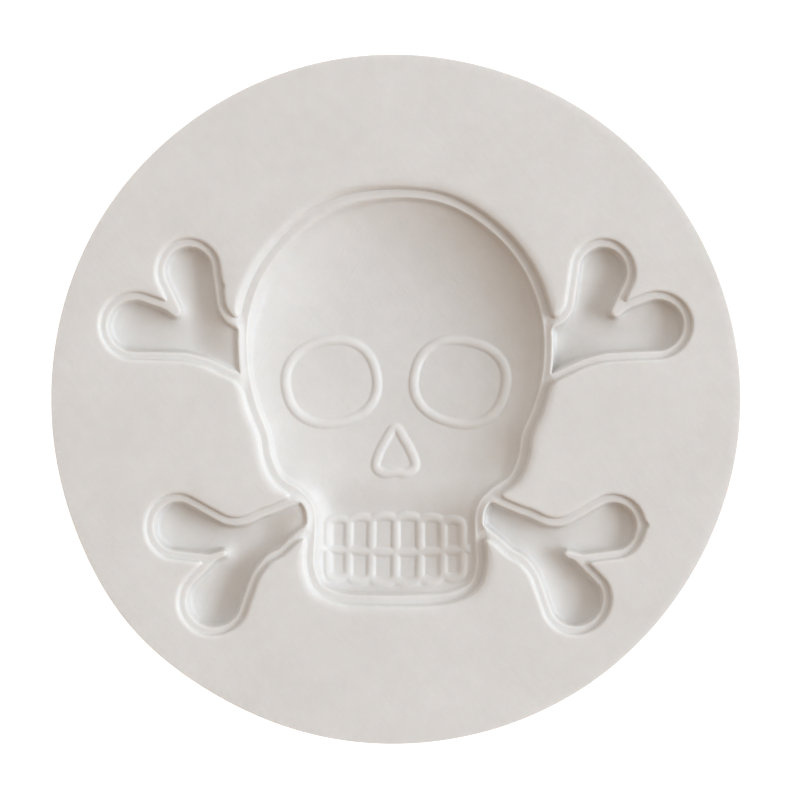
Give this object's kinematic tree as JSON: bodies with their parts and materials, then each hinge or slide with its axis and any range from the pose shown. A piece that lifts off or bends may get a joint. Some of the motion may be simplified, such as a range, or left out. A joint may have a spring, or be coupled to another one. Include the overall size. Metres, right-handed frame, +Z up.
{
  "type": "silicone skull mould",
  "caption": "Round flat silicone mould for sugar paste, with a shallow skull-and-crossbones cavity in its top face.",
  "frame": {"origin": "centre of the flat underside of the disc, which is the face it lies on", "axes": "+Z up through the thickness, out of the face that holds the cavity; +Y towards the crown of the skull; +X to the right of someone looking down at the cavity with the crown away from them"},
  "size_m": [0.076, 0.076, 0.011],
  "materials": {
    "silicone": "matte off-white cast silicone"
  },
  "bodies": {
    "root": {"mould_body": "silicone"}
  },
  "joints": []
}
